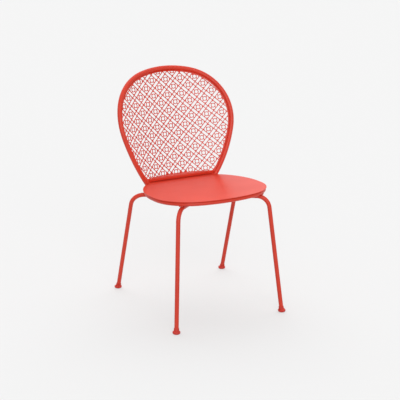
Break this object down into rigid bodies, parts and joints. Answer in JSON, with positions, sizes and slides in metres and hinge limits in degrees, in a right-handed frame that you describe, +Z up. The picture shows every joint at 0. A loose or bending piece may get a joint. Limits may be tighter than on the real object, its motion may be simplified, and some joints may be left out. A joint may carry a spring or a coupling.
{
  "type": "metal stacking chair",
  "caption": "Welded metal stacking chair with a round-cornered seat, splayed tube legs and a tube hoop back that holds a curved lattice sheet.",
  "frame": {"origin": "on the floor, under the middle of the chair's box", "axes": "+Z up, -Y towards the front of the seat, +X to the right as seen by someone who stands in front of the chair"},
  "size_m": [0.4978, 0.5718, 0.8642],
  "materials": {
    "coral_powder_coat": "satin",
    "coral_plastic": "matte",
    "dark_buffer_plastic": "matte",
    "pad_rubber": "matte"
  },
  "bodies": {
    "root": {"seat_rim": "coral_powder_coat", "seat_pan": "coral_powder_coat", "front_right_leg": "coral_powder_coat", "front_left_leg": "coral_powder_coat", "rear_right_leg": "coral_powder_coat", "rear_left_leg": "coral_powder_coat", "front_right_saddle": "coral_powder_coat", "front_left_saddle": "coral_powder_coat", "rear_right_saddle": "coral_powder_coat", "rear_left_saddle": "coral_powder_coat", "hub_plate": "coral_powder_coat", "back_hoop": "coral_powder_coat", "back_panel": "coral_powder_coat", "front_right_foot": "coral_plastic", "front_left_foot": "coral_plastic", "rear_right_foot": "coral_plastic", "rear_left_foot": "coral_plastic", "right_hoop_plug": "coral_plastic", "left_hoop_plug": "coral_plastic", "front_right_stacking_buffer": "dark_buffer_plastic", "front_left_stacking_buffer": "dark_buffer_plastic", "rear_right_stacking_buffer": "dark_buffer_plastic", "rear_left_stacking_buffer": "dark_buffer_plastic", "seat_support_pad": "pad_rubber"}
  },
  "joints": []
}
